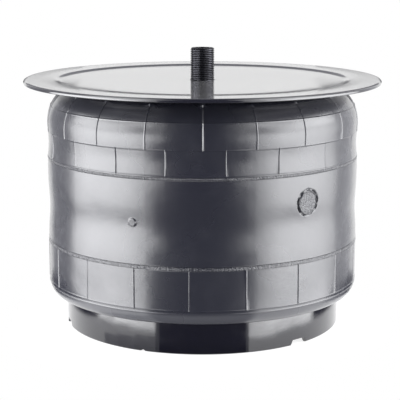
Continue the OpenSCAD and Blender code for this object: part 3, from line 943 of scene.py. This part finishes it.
def make_stud(material):
    """Hollow stud: welded head, shoulder, helical thread, and the air port in its end."""
    head_r, head_z, end_z = node_size("threaded_stud")
    backing_z = head_z + HEAD_H
    port_z = end_z - PORT_DEPTH
    azimuths = np.arange(0, FULL_TURN, 3.0)
    head = [(PASSAGE_R, head_z), (head_r - 1, head_z), (head_r, head_z + 1), (head_r, backing_z),
            (STUD_SHOULDER_R, backing_z), (STUD_SHOULDER_R, THREAD_START_Z - 0.4)]
    thread = [(CREST_R, h) for h in np.arange(THREAD_START_Z - 0.3, end_z - 0.9, PITCH / 12)]
    port = [(CREST_R - 0.3, end_z - 0.5), (CREST_R - 0.95, end_z), (PORT_R + 1.0, end_z),
            (PORT_R, end_z - 1.0), (PORT_R, port_z), (PASSAGE_R, port_z)]
    rows = np.array(head + thread + port)
    radius = np.repeat(rows[:, :1], len(azimuths), axis=1)
    height = np.repeat(rows[:, 1:], len(azimuths), axis=1)
    threaded = slice(len(head), len(head) + len(thread))
    climb = height[threaded] - PITCH * azimuths[None, :] / FULL_TURN
    run_out = smooth_step((end_z - height[threaded]) / 1.2)
    radius[threaded] -= thread_depth(climb) * run_out
    points = turned_points(radius, height, azimuths)
    faces = join_faces(len(rows), len(azimuths), True)[:, ::-1]
    stud = make_piece("mounting_stud", points, faces, material)
    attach(stud, "plate_group")
    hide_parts("threaded_stud")


# Piston

SHELL_CORNER_R = 14.0
SEAT_R = 80.3
FOOT_R = 0.8
# Notches cut up into the foot: azimuth, half width, height and half the run of their sloped sides
DRAIN_NOTCHES = ((42, 7.5, 4.0, 1.0), (163, 7.5, 4.0, 1.0), (-75, 7.5, 4.0, 1.0))
SMALL_NOTCH = (-24, 1.2, 1.1, 0.9)
NOTCH_REACH = 9.0
# Rows of the shell's wall, up to where the notches' cut fades out and above it
SHELL_ROWS = (2.0, 4.0, 6.0, 9.0, 30.0, 60.0)


def foot_lift(heights, azimuths):
    """Heights of the shell's points with the notches cut up into its foot."""
    shell_r = node_size("piston_shell")[0]
    lift = np.zeros(len(azimuths))
    for middle, half_w, cut_h, slope in (*DRAIN_NOTCHES, SMALL_NOTCH):
        across = np.abs(along_circle(azimuths, middle, shell_r))
        lift = np.maximum(lift, cut_h * np.clip((half_w + slope - across) / (2 * slope), 0, 1))
    share = np.clip(1 - heights / NOTCH_REACH, 0, 1)
    return heights + lift[None, :] * share


def shell_azimuths(shell_r):
    """Columns of the shell's mesh: closer together at the notches' sides."""
    azimuths = list(np.arange(0, FULL_TURN, 1.5))
    for middle, half_w, _, slope in DRAIN_NOTCHES:
        for across in (-half_w - slope, -half_w + slope, half_w - slope, half_w + slope):
            azimuths += [middle + math.degrees((across + shift) / shell_r)
                         for shift in (-0.15, 0, 0.15)]
    small = SMALL_NOTCH[0]
    azimuths += list(np.arange(small - 1.2, small + 1.2, 0.15))
    return np.unique(np.round(np.mod(azimuths, FULL_TURN), 3))


def make_shell(material):
    """Drawn piston shell, rounded at its shoulder and foot, with notches in the foot."""
    shell_r, _, top_z = node_size("piston_shell")
    inner_r = shell_r - SHEET
    corner = (shell_r - SHELL_CORNER_R, top_z - SHELL_CORNER_R)
    inner_corner_r = SHELL_CORNER_R - SHEET
    loop = [(inner_r, 0), (inner_r + 0.5, 0), (shell_r - FOOT_R - 0.5, 0)]
    loop += arc(shell_r - FOOT_R, FOOT_R, FOOT_R, FOOT_R, -90, 0, 5)
    loop += [(shell_r, h) for h in (*SHELL_ROWS, 85.0)]
    loop += arc(*corner, SHELL_CORNER_R, SHELL_CORNER_R, 0, 90, 16)
    loop += [(SEAT_R + 0.5, top_z), (SEAT_R, top_z), (SEAT_R, top_z - SHEET),
             (SEAT_R + 0.5, top_z - SHEET)]
    loop += arc(*corner, inner_corner_r, inner_corner_r, 90, 0, 12)
    loop += [(inner_r, h) for h in (*reversed(SHELL_ROWS), 0.6)]
    shell = turned("piston_cover", loop, material, shell_azimuths(shell_r), foot_lift)
    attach(shell, "piston_group")
    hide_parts("piston_shell")


# Inner pieces, which keep their CAD meshes

def dress(node, material):
    """Gives a carried-over CAD node its finish."""
    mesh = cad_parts[node].data
    mesh.materials.clear()
    mesh.materials.append(material)


def dress_inner_pieces(paint):
    """Finishes of the pieces that the sleeve, the plate and the piston hide."""
    pressed = bare_steel("pressed_steel", (0.34, 0.34, 0.35), roughness=0.34, brushed=0.25)
    turned_steel = bare_steel("turned_steel", (0.5, 0.5, 0.51), roughness=0.26, brushed=6.0)
    wire = bare_steel("bead_wire", (0.42, 0.36, 0.26), roughness=0.3, brushed=0.1)
    zinc = zinc_plating()
    finishes = {
        "backing_plate": pressed, "upper_seat_ring": pressed, "centre_tube": pressed,
        "bump_stop_plate": pressed, "tube_insert": turned_steel, "mounting_bush": turned_steel,
        "upper_bead_core": wire, "lower_bead_core": wire,
        "piston_seat_plate": paint, "piston_base_plate": paint,
        "bump_stop": dull_rubber("stop_rubber", (0.022, 0.022, 0.023), roughness=0.6),
        "seal_ring": dull_rubber("seal_rubber", (0.012, 0.012, 0.012), roughness=0.35),
        "flat_washer": zinc, "lock_washer": zinc, "centre_bolt": zinc,
    }
    for node, material in finishes.items():
        dress(node, material)


make_camera()
make_studio()
scene.view_settings.view_transform = "Standard"
rubber = sleeve_rubber()
plate_paint = gloss_paint("plate_paint", (0.02, 0.02, 0.03), roughness=0.14, haze=0.08,
                          coat_ior=1.7, sag_height=0.00001, peel_height=0.000001, wear=0.1,
                          bloom=0.1)
piston_paint = gloss_paint("piston_paint", (0.007, 0.007, 0.015), roughness=0.12, haze=0.085,
                           coat_ior=1.5, sag_height=0.0002, peel_height=0.00001, wear=1, bloom=0)
make_sleeve(rubber)
make_lower_bead(rubber)
make_plate(plate_paint)
make_stud(phosphate())
make_shell(piston_paint)
dress_inner_pieces(piston_paint)
